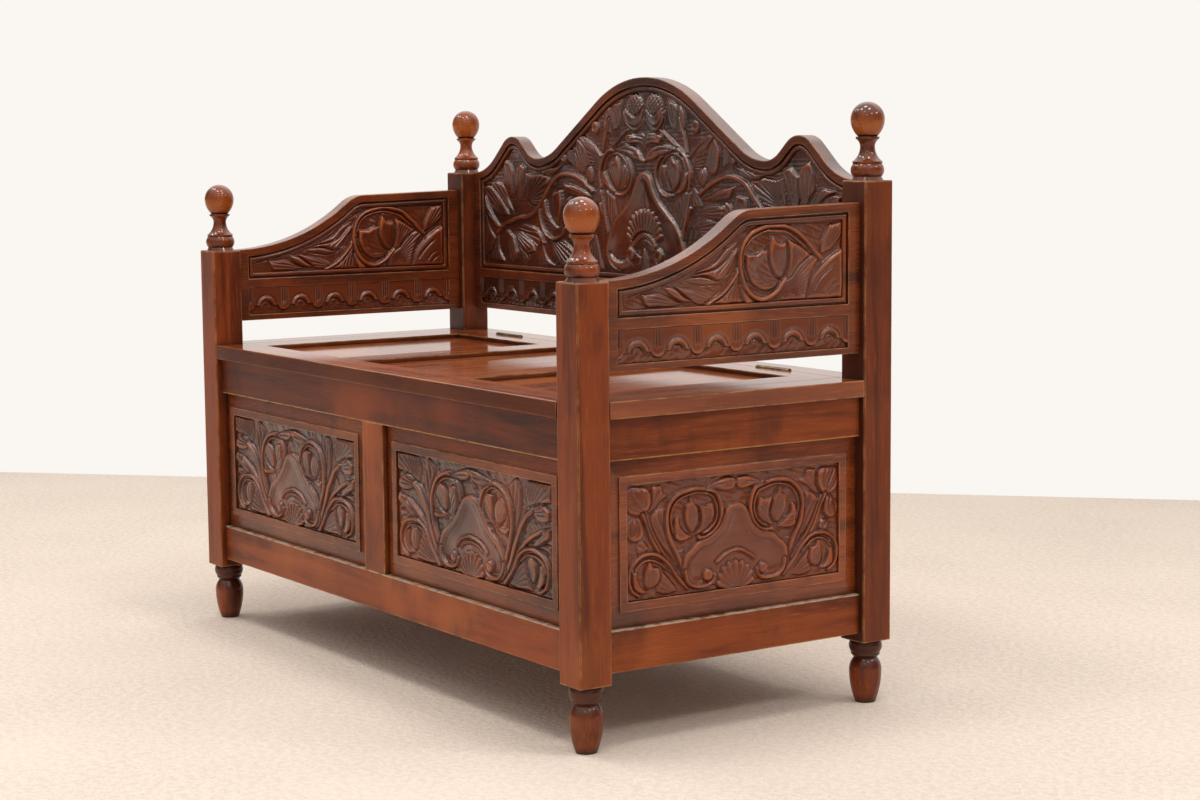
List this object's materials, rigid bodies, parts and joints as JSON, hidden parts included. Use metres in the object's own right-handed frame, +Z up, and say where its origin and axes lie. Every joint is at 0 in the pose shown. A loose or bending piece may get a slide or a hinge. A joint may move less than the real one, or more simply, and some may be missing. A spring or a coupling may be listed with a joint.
{
  "type": "carved storage bench",
  "caption": "Carved hardwood hall bench: panelled storage box on turned feet, hinged lift-up seat, swept arms and an arched back between ball-topped posts.",
  "frame": {"origin": "on the floor, under the middle of the bench", "axes": "+X to the right as the bench is seen from the front, -Y out of the front, +Z up"},
  "size_m": [1.13, 0.526, 0.8899],
  "materials": {
    "frame_wood": "satin lacquered red-brown hardwood",
    "carved_wood": "carved red-brown hardwood with dark glaze in the hollows",
    "turned_wood": "turned and polished red-brown hardwood",
    "seat_wood": "glossy lacquered red-brown hardwood",
    "inner_wood": "thinly finished hardwood inside and behind the box",
    "hinge_metal": "dull aged brass"
  },
  "bodies": {
    "frame": {"back_board": "carved_wood", "box_floor": "inner_wood", "front_bottom_rail": "frame_wood", "front_floor_cleat": "inner_wood", "front_left_finial": "turned_wood", "front_left_foot": "turned_wood", "front_left_panel": "carved_wood", "front_left_post": "frame_wood", "front_muntin": "frame_wood", "front_right_finial": "turned_wood", "front_right_foot": "turned_wood", "front_right_panel": "carved_wood", "front_right_post": "frame_wood", "front_top_rail": "frame_wood", "left_arm": "carved_wood", "left_bottom_rail": "frame_wood", "left_floor_cleat": "inner_wood", "left_hinge_fixed_leaf": "hinge_metal", "left_hinge_pin": "hinge_metal", "left_panel": "carved_wood", "left_seat_strip": "seat_wood", "left_top_rail": "frame_wood", "rear_bottom_rail": "frame_wood", "rear_floor_cleat": "inner_wood", "rear_left_finial": "turned_wood", "rear_left_foot": "turned_wood", "rear_left_panel": "inner_wood", "rear_left_post": "frame_wood", "rear_muntin": "frame_wood", "rear_right_finial": "turned_wood", "rear_right_foot": "turned_wood", "rear_right_panel": "inner_wood", "rear_right_post": "frame_wood", "rear_top_rail": "frame_wood", "right_arm": "carved_wood", "right_bottom_rail": "frame_wood", "right_floor_cleat": "inner_wood", "right_hinge_fixed_leaf": "hinge_metal", "right_hinge_pin": "hinge_metal", "right_panel": "carved_wood", "right_seat_strip": "seat_wood", "right_top_rail": "frame_wood", "seat_hinge_screws": "hinge_metal", "seat_rear_rail": "seat_wood"},
    "lid": {"left_hinge_lid_leaf": "hinge_metal", "lid_front_rail": "seat_wood", "lid_hinge_screws": "hinge_metal", "lid_left_panel": "seat_wood", "lid_left_stile": "seat_wood", "lid_middle_left_stile": "seat_wood", "lid_middle_panel": "seat_wood", "lid_middle_right_stile": "seat_wood", "lid_rear_rail": "seat_wood", "lid_right_panel": "seat_wood", "lid_right_stile": "seat_wood", "right_hinge_lid_leaf": "hinge_metal"}
  },
  "joints": [
    {"name": "lid_hinge", "type": "hinge", "parent": "frame", "child": "lid", "pos_m": [0, 0.21225, 0.461], "axis": [-1, 0, 0], "range_deg": [0, 93]}
  ]
}
